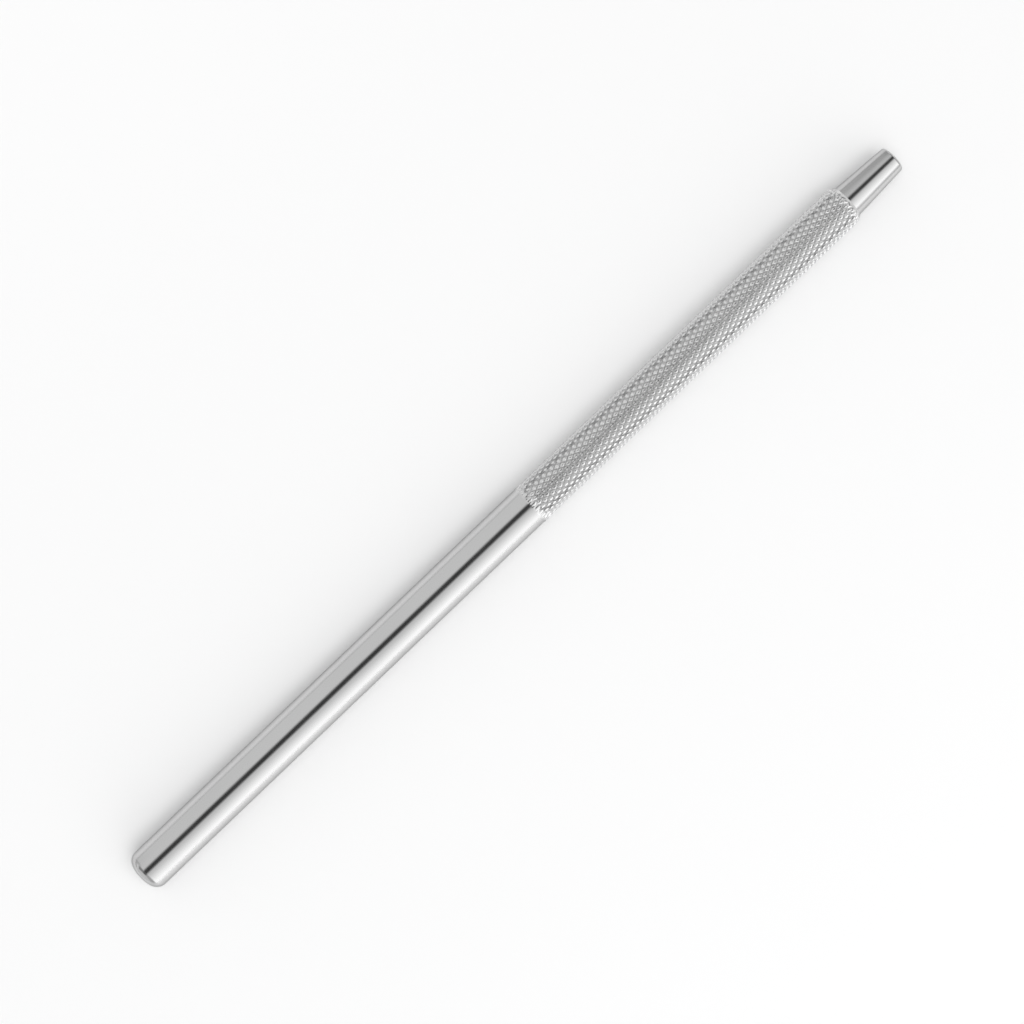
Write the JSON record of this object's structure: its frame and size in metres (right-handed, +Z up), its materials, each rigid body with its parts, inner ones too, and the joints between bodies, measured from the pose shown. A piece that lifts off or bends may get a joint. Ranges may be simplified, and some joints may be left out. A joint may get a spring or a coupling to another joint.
{
  "type": "mouth mirror handle",
  "caption": "Straight round steel handle with a diamond-knurled grip, a slim tapered nose tapped for a mirror stem, and a rounded butt.",
  "frame": {"origin": "centre of the nose's end face, on the handle's axis, where the stem of the mirror screws in", "axes": "+X along the axis, out of the tapped hole; the handle reaches back along -X; +Z up with the handle lying level"},
  "size_m": [0.13, 0.0056, 0.0056],
  "materials": {
    "steel": "turned and polished stainless steel, with a bright diamond knurl over the grip"
  },
  "bodies": {
    "root": {"handle": "steel"}
  },
  "joints": []
}
